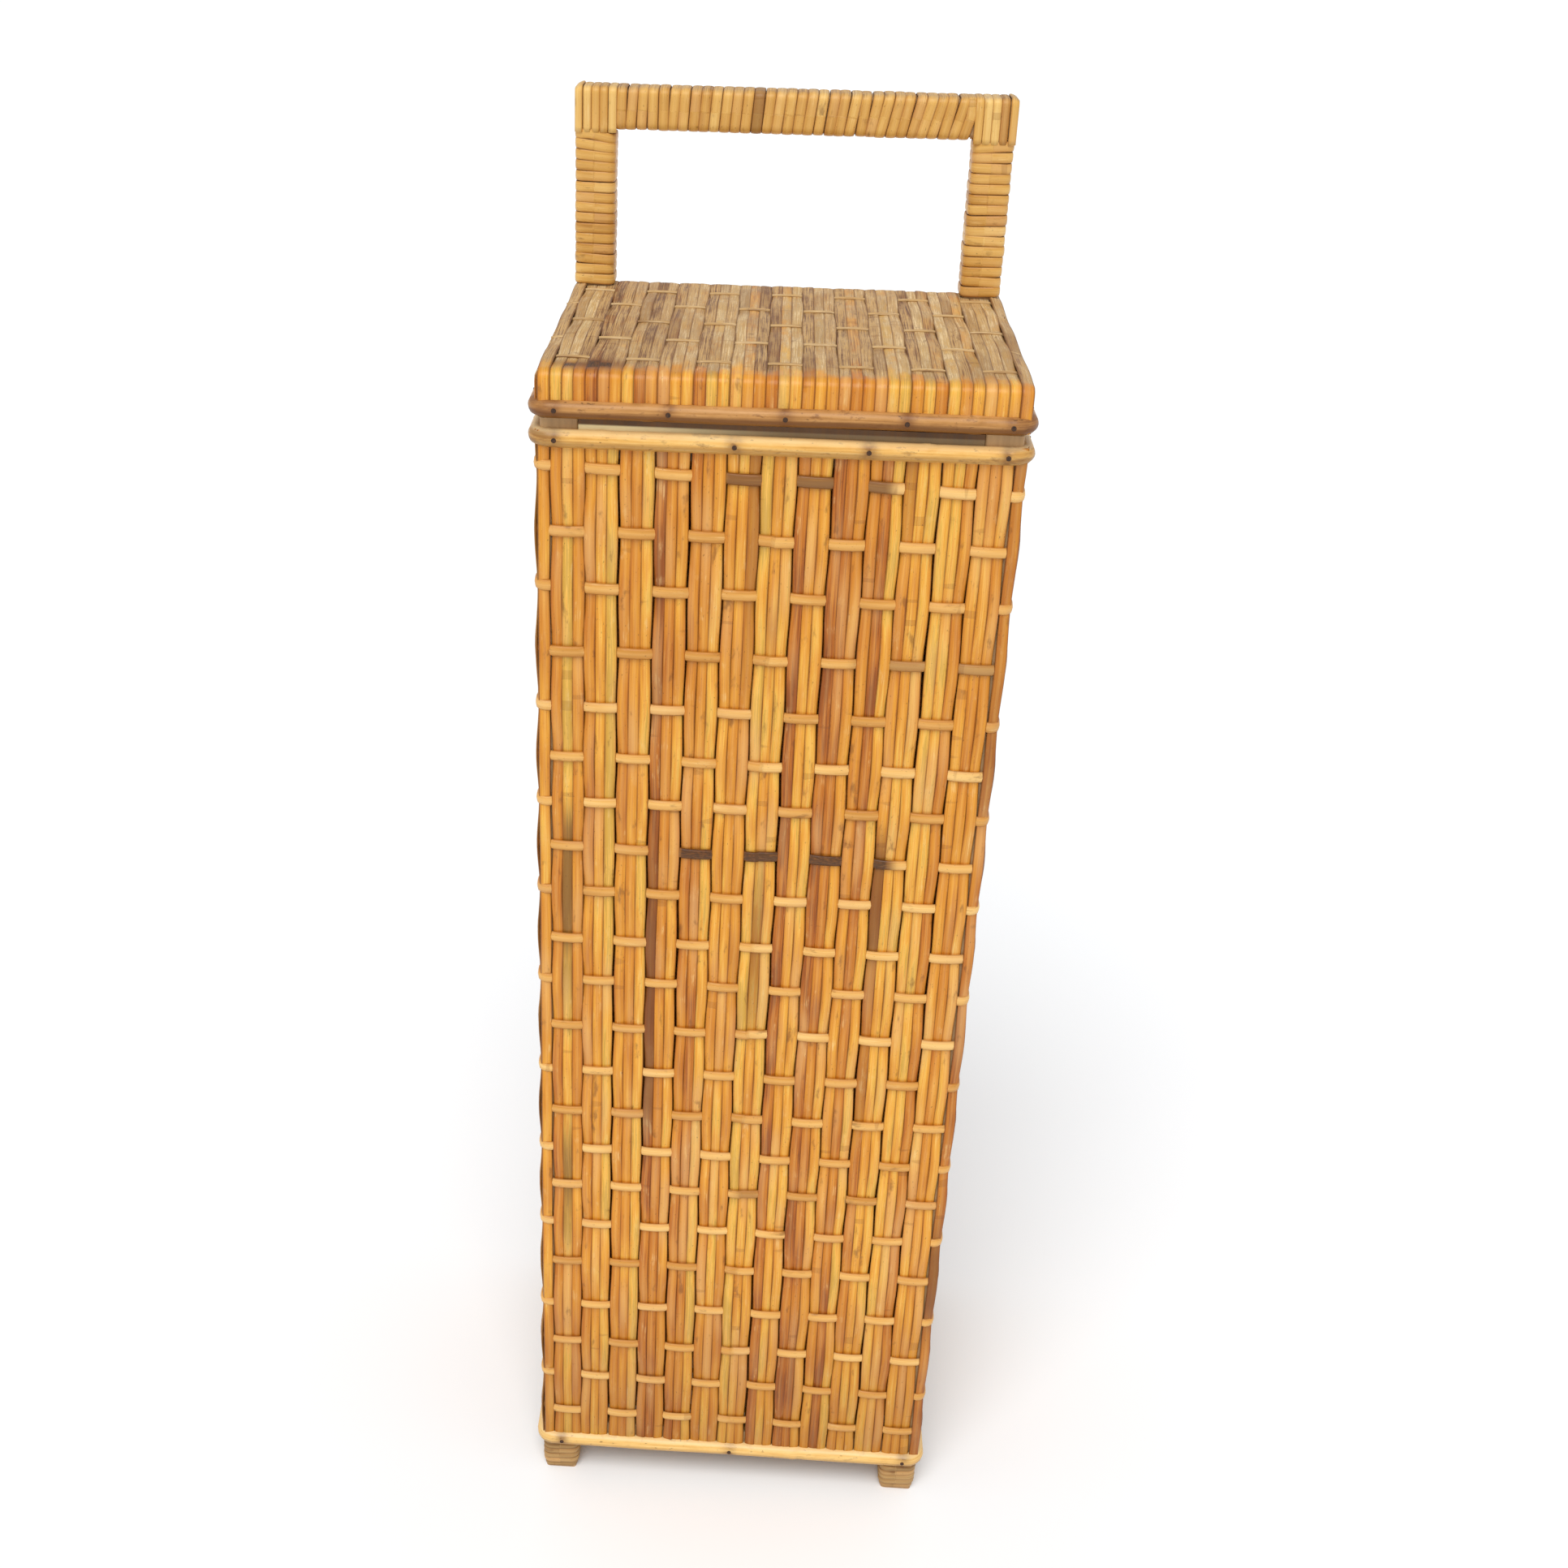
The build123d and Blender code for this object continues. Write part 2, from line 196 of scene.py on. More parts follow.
class Nodes:
    """Short names for the few node types that the materials use."""

    def __init__(self, name):
        self.material = bpy.data.materials.new(name)
        self.material.use_nodes = True
        self.tree = self.material.node_tree
        self.tree.nodes.clear()
        self.shader = self.new("ShaderNodeBsdfPrincipled")
        end = self.new("ShaderNodeOutputMaterial")
        self.join(self.shader.outputs[0], end.inputs["Surface"])

    def new(self, kind, **settings):
        node = self.tree.nodes.new(kind)
        for key, value in settings.items():
            setattr(node, key, value)
        return node

    def join(self, a, b):
        self.tree.links.new(a, b)

    def put(self, value, socket):
        if isinstance(value, bpy.types.NodeSocket):
            self.join(value, socket)
        else:
            socket.default_value = value

    def math(self, operation, a, b=0.0, c=0.0, clamp=False):
        node = self.new("ShaderNodeMath", operation=operation, use_clamp=clamp)
        for value, socket in zip((a, b, c), node.inputs):
            self.put(value, socket)
        return node.outputs[0]

    def scaled(self, vector, factors, shift=(0, 0, 0)):
        node = self.new("ShaderNodeVectorMath", operation="MULTIPLY_ADD")
        self.put(vector, node.inputs[0])
        node.inputs[1].default_value = factors
        node.inputs[2].default_value = shift
        return node.outputs[0]

    def noise(self, vector, scale=1.0, detail=3.0, rough=0.55):
        node = self.new("ShaderNodeTexNoise")
        self.put(vector, node.inputs["Vector"])
        node.inputs["Scale"].default_value = scale
        node.inputs["Detail"].default_value = detail
        node.inputs["Roughness"].default_value = rough
        return node.outputs["Fac"]

    def band(self, value, low, high, to_low=0.0, to_high=1.0):
        node = self.new("ShaderNodeMapRange", interpolation_type="SMOOTHSTEP")
        self.put(value, node.inputs["Value"])
        numbers = ("From Min", "From Max", "To Min", "To Max")
        for label, number in zip(numbers, (low, high, to_low, to_high)):
            node.inputs[label].default_value = number
        return node.outputs["Result"]

    def ramp(self, value, stops):
        node = self.new("ShaderNodeValToRGB")
        self.put(value, node.inputs["Fac"])
        elements = node.color_ramp.elements
        while len(elements) < len(stops):
            elements.new(0.5)
        for element, (position, colour) in zip(elements, stops):
            element.position = position
            element.color = linear(*colour)
        return node.outputs["Color"]

    def mix(self, factor, a, b, blend="MIX"):
        node = self.new("ShaderNodeMix", data_type="RGBA", blend_type=blend)
        self.put(factor, node.inputs["Factor"])
        self.put(a, node.inputs[6])
        self.put(b, node.inputs[7])
        return node.outputs[2]

    def bump(self, height, distance, strength=1.0):
        node = self.new("ShaderNodeBump")
        self.put(height, node.inputs["Height"])
        node.inputs["Distance"].default_value = distance
        node.inputs["Strength"].default_value = strength
        self.join(node.outputs["Normal"], self.shader.inputs["Normal"])


GOLDEN = (
    (0.00, (142, 74, 20)), (0.12, (174, 96, 26)), (0.32, (199, 121, 33)),
    (0.56, (215, 140, 40)), (0.78, (231, 161, 52)), (0.92, (240, 186, 80)),
    (1.00, (208, 160, 62)),
)
HONEY = (
    (0.00, (180, 126, 54)), (0.30, (208, 155, 74)), (0.65, (224, 174, 90)),
    (1.00, (238, 198, 120)),
)
OLIVE = (
    (0.00, (112, 82, 44)), (0.30, (148, 112, 64)), (0.65, (172, 134, 82)),
    (1.00, (196, 160, 108)),
)
WEAVER = (
    (0.00, (200, 138, 58)), (0.35, (217, 156, 74)), (0.75, (233, 178, 96)),
    (1.00, (242, 196, 120)),
)
GREY = (
    (0.00, (96, 70, 48)), (0.18, (144, 112, 80)), (0.36, (172, 140, 100)),
    (0.52, (196, 158, 98)), (0.66, (206, 172, 120)), (0.80, (176, 148, 112)),
    (1.00, (228, 200, 152)),
)


def cane_material(name, colours, gloss=0.36, groove=0.70, coat=0.05):
    """Split cane: one tone per strip, long grain, knots, brown stains, grey where worn; painted shade on
    the strip edges, painted shade and dirt in the grooves, a painted highlight down the middle.
    """
    n = Nodes(name)
    place = n.new("ShaderNodeAttribute", attribute_name="cane_place").outputs["Vector"]
    look = n.new("ShaderNodeSeparateXYZ")
    n.join(n.new("ShaderNodeAttribute", attribute_name="cane_look").outputs["Vector"],
           look.inputs[0])
    tone, stain, age = look.outputs[0], look.outputs[1], look.outputs[2]
    split = n.new("ShaderNodeSeparateXYZ")
    n.join(place, split.inputs[0])
    across = n.math("ABSOLUTE", split.outputs[0])

    drift = n.noise(n.scaled(place, (0.10, 0.016, 1.0)), 1.0, 2.0)
    fibre = n.noise(n.scaled(place, (1.9, 0.030, 1.0)), 1.0, 4.0, 0.65)
    patch = n.noise(n.scaled(place, (0.16, 0.055, 1.0), (7, 3, 11)), 1.0, 4.0, 0.6)
    speck = n.noise(n.scaled(place, (1.3, 0.45, 1.0), (1, 9, 5)), 1.0, 2.0, 0.5)
    knot = n.noise(n.scaled(place, (0.02, 0.11, 1.0), (4, 4, 23)), 1.0, 0.0)
    bleach = n.noise(n.scaled(place, (0.05, 0.012, 1.0), (13, 5, 2)), 1.0, 1.0)

    pick = n.math("ADD", tone, n.band(drift, 0.25, 0.75, -0.20, 0.20))
    pick = n.math("ADD", pick, n.band(fibre, 0.30, 0.70, -0.17, 0.17), clamp=True)
    colour = n.ramp(pick, colours)
    colour = n.mix(n.band(bleach, 0.50, 0.70, 0.0, 0.45), colour, linear(222, 170, 108))
    pale = n.math("MULTIPLY", n.band(patch, 0.42, 0.28), n.band(fibre, 0.40, 0.65))
    colour = n.mix(n.math("MULTIPLY", pale, 0.55), colour, linear(244, 208, 142))
    # Painted shade: each strip goes darker orange towards both edges.
    colour = n.mix(n.band(across, 1.0, 2.9, 0.0, 0.28), colour, linear(180, 98, 26))
    # Painted highlight: a pale line down the middle of each strip.
    colour = n.mix(n.band(across, 1.5, 0.1, 0.0, 0.12), colour, linear(250, 206, 140))
    worn = n.math("ADD", n.math("MULTIPLY", tone, 0.72), n.band(fibre, 0.32, 0.68, -0.38, 0.38))
    worn = n.math("ADD", worn, n.band(patch, 0.30, 0.70, -0.06, 0.28))
    weathered = n.ramp(worn, GREY)
    greyness = n.math("ADD", age, n.band(patch, 0.3, 0.7, -0.18, 0.18))
    colour = n.mix(n.band(greyness, 0.15, 0.85, 0.0, 0.9), colour, weathered)
    brown = n.math("MULTIPLY", n.band(patch, 0.60, 0.74), 0.55)
    brown = n.math("MAXIMUM", brown, n.math("MULTIPLY", stain, n.band(fibre, 0.2, 0.5, 0.7, 1.0)))
    colour = n.mix(brown, colour, linear(110, 62, 24))
    char = n.math("MULTIPLY", n.band(stain, 0.85, 1.0), n.band(speck, 0.35, 0.60, 0.3, 0.9))
    colour = n.mix(char, colour, linear(56, 40, 28))
    rings = n.band(knot, 0.765, 0.785)
    colour = n.mix(n.math("MULTIPLY", rings, 0.25), colour, linear(124, 70, 26))
    colour = n.mix(n.math("MULTIPLY", n.band(speck, 0.68, 0.76), 0.55), colour, linear(84, 48, 22))
    # Painted shade in the grooves between strips, with some dirt there: dark brown at the strip edges, a
    # little less on worn cane.
    groove_shade_and_dirt = n.math("MULTIPLY", n.band(across, 2.35, 3.2, 0.0, groove), n.band(age, 0.0, 0.8, 1.0, 0.85))
    colour = n.mix(groove_shade_and_dirt, colour, linear(104, 54, 18))
    n.join(colour, n.shader.inputs["Base Color"])

    grain_rough = n.band(fibre, 0.3, 0.7, gloss - 0.06, gloss + 0.10)
    rough = n.math("ADD", grain_rough, n.math("MULTIPLY", age, 0.22))
    n.join(rough, n.shader.inputs["Roughness"])
    n.shader.inputs["Specular IOR Level"].default_value = 0.28
    n.shader.inputs["Coat Weight"].default_value = coat
    n.shader.inputs["Coat Roughness"].default_value = 0.22
    height = n.math("ADD", n.math("MULTIPLY", fibre, 0.7), n.math("MULTIPLY", patch, 0.5))
    height = n.math("ADD", height, n.math("MULTIPLY", rings, 0.5))
    n.bump(height, 0.00035, 0.65)
    return n.material


def pole_material(name, colours, gloss=0.36, mottled=0.5, shade=0.2, crown=0.35, coat=0.10):
    """Rattan pole with its skin on: long streaks, darker mottles, nicks; painted shade on the underside and
    a painted highlight along the top.
    """
    n = Nodes(name)
    place = n.new("ShaderNodeAttribute", attribute_name="cane_place").outputs["Vector"]
    look = n.new("ShaderNodeSeparateXYZ")
    n.join(n.new("ShaderNodeAttribute", attribute_name="cane_look").outputs["Vector"],
           look.inputs[0])
    streak = n.noise(n.scaled(place, (0.9, 0.018, 1.0)), 1.0, 4.0, 0.6)
    mottle = n.noise(n.scaled(place, (0.28, 0.10, 1.0), (2, 5, 3)), 1.0, 4.0, 0.65)
    nick = n.noise(n.scaled(place, (0.9, 0.28, 1.0), (8, 1, 2)), 1.0, 2.0)
    pick = n.math("ADD", n.math("MULTIPLY", streak, 0.9), n.math("MULTIPLY", mottle, 0.35))
    colour = n.ramp(n.math("SUBTRACT", pick, 0.12, clamp=True), colours)
    dark = n.math("MAXIMUM", n.math("MULTIPLY", n.band(mottle, 0.56, 0.70), mottled),
                  n.math("MULTIPLY", look.outputs[1], n.band(mottle, 0.35, 0.6, 0.35, 1.0)))
    colour = n.mix(dark, colour, linear(112, 64, 30))
    colour = n.mix(n.math("MULTIPLY", n.band(nick, 0.66, 0.74), 0.6), colour, linear(70, 40, 20))
    split = n.new("ShaderNodeSeparateXYZ")
    n.join(place, split.inputs[0])
    # Painted shade: the lower half of the pole darker brown, strength set by shade.
    painted_underside_shade = n.band(split.outputs[0], 0.8, -1.6, 0.0, shade)
    colour = n.mix(painted_underside_shade, colour, linear(112, 64, 8))
    # Painted highlight: a pale band along the top of the pole, strength set by crown.
    colour = n.mix(n.band(split.outputs[0], 2.6, 4.4, 0.0, crown), colour, linear(250, 226, 178))
    n.join(colour, n.shader.inputs["Base Color"])
    n.join(n.band(streak, 0.3, 0.7, gloss - 0.05, gloss + 0.12), n.shader.inputs["Roughness"])
    n.shader.inputs["Specular IOR Level"].default_value = 0.3
    n.shader.inputs["Coat Weight"].default_value = coat
    n.shader.inputs["Coat Roughness"].default_value = 0.25
    n.bump(n.math("ADD", n.math("MULTIPLY", streak, 0.5), n.math("MULTIPLY", mottle, 0.6)), 0.0004, 0.5)
    return n.material


def wood_material(name, dark, light, painted_light_height=None):
    """Bare wood: grain drawn out along the frame pieces; an optional band of painted light under a given
    height.
    """
    n = Nodes(name)
    where = n.new("ShaderNodeTexCoord").outputs["Object"]
    warp = n.noise(n.scaled(where, (60, 60, 9)), 1.0, 3.0)
    grain = n.noise(n.scaled(where, (420, 420, 30), (3, 1, 7)), 1.0, 4.0, 0.6)
    pick = n.math("ADD", n.math("MULTIPLY", warp, 0.6), n.math("MULTIPLY", grain, 0.5))
    colour = n.ramp(pick, ((0.25, dark), (0.80, light)))
    if painted_light_height:
        split = n.new("ShaderNodeSeparateXYZ")
        n.join(where, split.inputs[0])
        # Painted light: a cream band on the front rail's outer face just under the given height, strongest
        # at the left and fading to the right.
        lower = n.band(split.outputs[2], painted_light_height + 0.6 * MM, painted_light_height - 0.6 * MM)
        above = n.band(split.outputs[2], painted_light_height - 4.2 * MM, painted_light_height - 3.2 * MM)
        lower = n.math("MULTIPLY", lower, above)
        outer = n.band(split.outputs[1], (4.5 - HALF_Y) * MM, (3.5 - HALF_Y) * MM)
        left = n.band(split.outputs[0], HALF_X * 0.1 * MM, -HALF_X * 0.7 * MM, 0.15, 1.0)
        painted_light = n.math("MULTIPLY", n.math("MULTIPLY", lower, left), outer)
        colour = n.mix(painted_light, colour, linear(246, 228, 176))
    n.join(colour, n.shader.inputs["Base Color"])
    n.join(n.band(grain, 0.3, 0.7, 0.50, 0.68), n.shader.inputs["Roughness"])
    n.bump(grain, 0.0003, 0.5)
    return n.material


def metal_material(name, dark, light, metallic, rough):
    """Nail or screw steel, dulled and spotted."""
    n = Nodes(name)
    where = n.new("ShaderNodeTexCoord").outputs["Object"]
    spots = n.noise(n.scaled(where, (900, 900, 900)), 1.0, 3.0, 0.6)
    n.join(n.ramp(spots, ((0.35, dark), (0.70, light))), n.shader.inputs["Base Color"])
    n.join(n.band(spots, 0.3, 0.7, rough - 0.08, rough + 0.12), n.shader.inputs["Roughness"])
    n.shader.inputs["Metallic"].default_value = metallic
    n.bump(spots, 0.0002, 0.6)
    return n.material


cane = cane_material("cane_golden", GOLDEN)
weaver_cane = cane_material("cane_weavers", WEAVER, gloss=0.38, groove=0.25)
wrap_cane = cane_material("cane_wrapping", HONEY, gloss=0.36, groove=0.75)
foot_cane = cane_material("cane_feet", OLIVE, gloss=0.48, groove=0.75, coat=0.0)
light_pole = pole_material(
    "pole_light", ((0.2, (200, 140, 62)), (0.5, (232, 178, 94)), (0.8, (247, 208, 134))),
    shade=0.40,
)
dark_pole = pole_material(
    "pole_dark", ((0.2, (128, 82, 38)), (0.5, (188, 134, 74)), (0.8, (216, 164, 104))),
    mottled=0.6, shade=0.85, crown=0.0, coat=0.0,
)
pale_pole = pole_material(
    "pole_pale", ((0.2, (206, 152, 76)), (0.5, (236, 190, 112)), (0.8, (250, 218, 152))),
    mottled=0.3, shade=0.35,
)
frame_wood = wood_material("frame_wood", (150, 110, 66), (206, 168, 118))
# Top rails: their dark colours are painted shade under the lid, with a band of painted light on the front
# rail.
pale_wood = wood_material("pale_wood", (68, 42, 18), (120, 82, 42), walls_high[2] * MM + 2.2 * MM)
nail_metal = metal_material("nail_metal", (44, 28, 18), (92, 60, 38), 0.3, 0.6)
screw_metal = metal_material("screw_metal", (120, 118, 112), (170, 168, 160), 1.0, 0.38)


# ------------------------------------------------------------------ the body's weave
class Ring:
    """Rounded rectangle, walked anticlockwise from the middle of its front side."""

    def __init__(self, half_x, half_y, radius, centre=(0.0, 0.0)):
        self.half, self.radius, self.centre = (half_x, half_y), radius, centre
        run_x, run_y = half_x - radius, half_y - radius
        arc = radius * math.pi / 2
        self.ends = np.cumsum([run_x, arc, 2 * run_y, arc, 2 * run_x, arc, 2 * run_y, arc, run_x])
        self.length = self.ends[-1]

    def at(self, walk):
        """Points and outward directions in the plane at distances along the ring."""
        walk = np.mod(walk, self.length)
        (hx, hy), r = self.half, self.radius
        leg = np.searchsorted(self.ends, walk, side="right").clip(0, 8)
        into = walk - np.concatenate(([0.0], self.ends))[leg]
        turn = np.where(leg % 2 == 1, into / r, 0.0)
        heading = (leg // 2) * math.pi / 2 + turn
        out = np.column_stack((np.sin(heading), -np.cos(heading)))
        corners = np.array(((hx - r, r - hy), (hx - r, hy - r), (r - hx, hy - r), (r - hx, r - hy)))
        starts = np.array(((0.0, -hy), (hx, r - hy), (hx - r, hy), (-hx, hy - r), (r - hx, -hy)))
        ways = np.array(((1, 0), (0, 1), (-1, 0), (0, -1), (1, 0)))
        straight = starts[leg // 2] + ways[leg // 2] * into[:, None]
        bend = corners[np.minimum(leg // 2, 3)] + out * r
        flat = np.where((leg % 2 == 1)[:, None], bend, straight)
        return flat + np.array(self.centre), out


body_ring = Ring(HALF_X - SKIN_DEPTH, HALF_Y - SKIN_DEPTH, 4.0)
GROUP = body_ring.length / AROUND
FIRST_GROUP = -7 * GROUP + 0.7      # group 7 stands in the middle of the front


def wall_rows():
    """Heights of the weaving strands, from the top; a few lie lower or higher than even."""
    number = np.arange(0, WALL_ROWS + 2)
    top, bottom = walls_high[2] - 24.0, walls_low[2] + 30.0
    even = top + (bottom - top) * (number - 1) / (WALL_ROWS - 1)
    lower = 8.0 * np.exp(-(((number - 5.5) / 2.5) ** 2))
    higher = 5.0 * np.exp(-(((number - 17.0) / 1.5) ** 2))
    return even - lower + higher


ROWS = wall_rows()


def strand_in_front(height, group):
    """1 where a weaving strand passes in front of the group, -1 where behind."""
    turn = np.interp(-height, -ROWS, np.arange(len(ROWS)) * math.pi)
    return -np.cos(turn + group * math.pi)


def spread(group, strip, step, count=STRIPS):
    """Resting place of a strip in its group."""
    return group + (strip - (count - 1) / 2) * step


def side_of(flat):
    """Which wall a point of the ring belongs to."""
    x, y = flat
    if abs(y) / HALF_Y > abs(x) / HALF_X:
        return "front" if y < 0 else "back"
    return "right" if x > 0 else "left"


def corner_close(flat):
    """Whether a point of the ring lies within a few millimetres of a corner."""
    return abs(flat[0]) > HALF_X - 9 and abs(flat[1]) > HALF_Y - 9


def wall_strips():
    """Upright strips of all four walls."""
    rng = np.random.default_rng(11)
    bundles = {side: Bundle() for side in ("front", "right", "back", "left")}
    inner = (GROUP - STRIP_GAP) / STRIPS
    heights = np.linspace(walls_low[2] + 0.8, walls_high[2] - 0.8, 150)
    low_slot, high_slot = span("hinge_lashing_right")
    for group in range(AROUND):
        middle = FIRST_GROUP + group * GROUP
        sway = wander(rng, heights, 60, 0.18) + rng.normal(0, 0.15)
        for strip in range(STRIPS):
            place = spread(0.0, strip, inner)
            start, _ = body_ring.at(np.array([middle + place]))
            side = side_of(start[0])
            z = heights
            if side == "back" and low_slot[0] - 4 < abs(start[0][0]) < high_slot[0] + 4:
                z = heights[heights < low_slot[2] - 0.5]
            front = strand_in_front(z, group)
            near_base = np.clip((z - walls_low[2] - 8) / 14, 0.2, 1)
            near_rim = np.clip((walls_high[2] - 8 - z) / 14, 0.2, 1)
            push = front * near_base * near_rim * (0.65 if corner_close(start[0]) else 1.0)
            walk = middle + place * (1 - 0.035 * push) + sway[: len(z)] + wander(rng, z, 45, 0.09)
            flat, out = body_ring.at(walk)
            depth = -WALL_RELIEF * push + wander(rng, z, 50, 0.10)
            lean = (strip - 1) * 0.13 * (1 - 0.5 * push) + rng.normal(0, 0.05)
            tangent = np.column_stack((-out[:, 1], out[:, 0]))
            outward = np.column_stack((out + tangent * np.asarray(lean)[..., None], np.zeros(len(z))))
            path = np.column_stack((flat + out * depth[:, None], z))
            cover = 1.11 if side == "front" else 1.25
            wide = inner * cover * (1 - 0.025 * push) * rng.uniform(0.97, 1.05)
            tone = np.clip(rng.beta(2.6, 1.8) + wander(rng, z, 160, 0.08), 0, 1)
            # Darker towards the bottom of the walls.
            stain = 0.34 * np.clip((190 - z) / 150, 0, 1)
            if rng.random() < 0.16:
                stain = np.maximum(stain, np.clip(wander(rng, z, 70, 0.55), 0, 0.75))
            bundles[side].add(path, outward, wide, STRIP_THICK, rng, tone=tone, stain=stain)
    for side, bundle in bundles.items():
        bundle.piece(f"strips_{side}", cane, "hamper", "woven_cane", [f"wall_{side}"])


def front_accent(row, x):
    """Darker lengths of weaving strand on the front wall."""
    reddish = {1: (-32, 62, 0.85), 4: (42, 130, 0.45), 8: (-50, 78, 0.95), 16: (-8, 14, 0.35)}
    if row not in reddish:
        return np.zeros(len(x))
    low, high, strength = reddish[row]
    rise = np.clip((x - low) / 6, 0, 1) * np.clip((high - x) / 6, 0, 1)
    return strength * rise


def wall_strands():
    """Weaving strands, each one loop round the body; the upper ones drop towards the right."""
    rng = np.random.default_rng(12)
    bundle = Bundle()
    walk = np.arange(AROUND * 8) * body_ring.length / (AROUND * 8)
    flat, out = body_ring.at(walk)
    outward = np.column_stack((out, np.zeros(len(walk))))
    group = (walk - FIRST_GROUP) / GROUP
    from_corner = np.hypot(HALF_X - np.abs(flat[:, 0]), HALF_Y - np.abs(flat[:, 1]))
    calm = 1 - 0.75 * np.exp(-((from_corner / 7) ** 2))
    for row in range(1, WALL_ROWS + 1):
        swing = -np.cos((group + row) * math.pi)
        swing = np.sign(swing) * np.abs(swing) ** 0.45
        rise = np.sin(walk / body_ring.length * 2 * math.pi + rng.uniform(0, 6)) * 0.8
        droop = 2.9 * math.exp(-(row - 1) / 1.6) + 0.4
        z = ROWS[row] + rise - droop * flat[:, 0] / HALF_X + rng.normal(0, 0.8)
        z = z + 0.5 * np.sin(walk / 31.0 + rng.uniform(0, 6))
        path = np.column_stack((flat + out * (WALL_RELIEF * swing * calm)[:, None], z))
        on_front = flat[:, 1] < -HALF_Y + 6
        stain = np.where(on_front, front_accent(row, flat[:, 0]), 0.0)
        # The strands also go darker towards the bottom.
        stain = np.maximum(stain, 0.16 * np.clip((150 - z) / 120, 0, 1))
        tone = np.clip(0.55 + 0.30 * np.sin(walk / 190 + rng.uniform(0, 6)) + rng.normal(0, 0.12), 0, 1)
        wide = STRAND_WIDE * (1 + 0.05 * np.sin(walk / 47 + row))
        bundle.add(path, outward, wide, STRAND_THICK, rng, STRAND, tone, stain, closed=True)
    bundle.piece("strands_body", weaver_cane, "hamper", "woven_cane",
                 ["wall_front", "wall_back", "wall_left", "wall_right"])


# ----------------------------------------------------------------- woven lid, floor
def over_the_lid(radius=5.0, inset=SKIN_DEPTH):
    """Path of a lid strip in Y and Z: up the front, over the top, down the back."""
    y, top, low = HALF_Y - inset, lid_high[2] - inset, lid_low[2] + 0.6
    quarter = np.linspace(0, math.pi / 2, 7)
    front = np.column_stack((
        -y + radius - radius * np.cos(quarter), top - radius + radius * np.sin(quarter)))
    back = front[::-1] * (-1, 1)
    rise = np.linspace(low, top - radius, 6)[:-1]
    flat = np.linspace(-y + radius, y - radius, 62)[1:-1]
    up = np.column_stack((np.full(len(rise), -y), rise))
    level = np.column_stack((flat, np.full(len(flat), top)))
    down = up[::-1] * (-1, 1)
    path = np.vstack((up, front, level, back, down))
    way = np.gradient(path, axis=0)
    way /= np.linalg.norm(way, axis=1)[:, None]
    return path, np.column_stack((-way[:, 1], way[:, 0]))


def lid_rows():
    """Places of the lid's weaving strands, from the back."""
    number = np.arange(0, TOP_ROWS + 2)
    return 78.0 - 35.0 * (number - 1) - 0.9 * (number - 1) ** 2


def lid_in_front(y, group):
    """1 where a lid strand passes over the group, -1 where under."""
    turn = np.interp(-y, -lid_rows(), np.arange(TOP_ROWS + 2) * math.pi)
    return np.cos(turn + group * math.pi)


def lid_strips():
    """Strips from front to back over the lid, greyed on top."""
    rng = np.random.default_rng(21)
    bundle = Bundle()
    path, out = over_the_lid()
    inner = (GROUP - 0.4 * STRIP_GAP) / STRIPS
    on_top = np.clip((np.abs(out[:, 1]) - 0.55) / 0.4, 0, 1)
    edge = np.clip((HALF_Y - np.abs(path[:, 0]) - 5) / 16, 0, 1) * on_top
    for group in range(0, 15):
        middle = (group - 7) * GROUP + 0.7
        for strip in range(STRIPS):
            x0 = spread(middle, strip, inner)
            if abs(x0) > HALF_X - 1.8:
                continue
            push = lid_in_front(path[:, 0], group) * edge
            sway = wander(rng, path[:, 0] + path[:, 1], 40, 0.16)
            x = middle + (x0 - middle) * (1 - 0.02 * push) + sway
            x = np.clip(x, -HALF_X + 2.9, HALF_X - 2.9)
            depth = -0.80 * push + wander(rng, path[:, 0] + path[:, 1], 30, 0.12)
            centre = np.column_stack((x, path + out * depth[:, None]))
            corner = np.clip((abs(x0) - HALF_X + 8) / 5, 0, 1) * np.sign(x0)
            lean = (strip - 1) * 0.07 + rng.normal(0, 0.04) + 0.38 * corner
            outward = np.column_stack((np.full(len(x), lean), out))
            wide = inner * 1.16 * (1 - 0.02 * push) * rng.uniform(0.97, 1.04)
            tone = np.clip(rng.beta(2.8, 1.6) + wander(rng, path[:, 0] + path[:, 1], 90, 0.10), 0, 1)
            stain = np.clip(wander(rng, path[:, 0] + path[:, 1], 45, 0.30), 0, 0.4) * on_top
            scorched = np.exp(-(((x0 + 99) / 16) ** 2 + ((path[:, 0] + 92) / 9) ** 2)) * on_top
            stain = np.clip(np.maximum(stain, 1.5 * scorched * rng.uniform(0.6, 1)), 0, 1)
            behind_fold = HALF_Y + path[:, 0] - 5 + rng.normal(0, 4)
            greyness = 0.62 if rng.random() < 0.14 else rng.uniform(0.75, 1.0)
            age = on_top * np.clip(behind_fold / 16, 0, 1) * greyness
            bundle.add(centre, outward, wide, STRIP_THICK, rng, WORN_CANE, tone, stain, age)
    bundle.piece("strips_lid", cane, "lid", "lid_cane", ["lid_weave"])


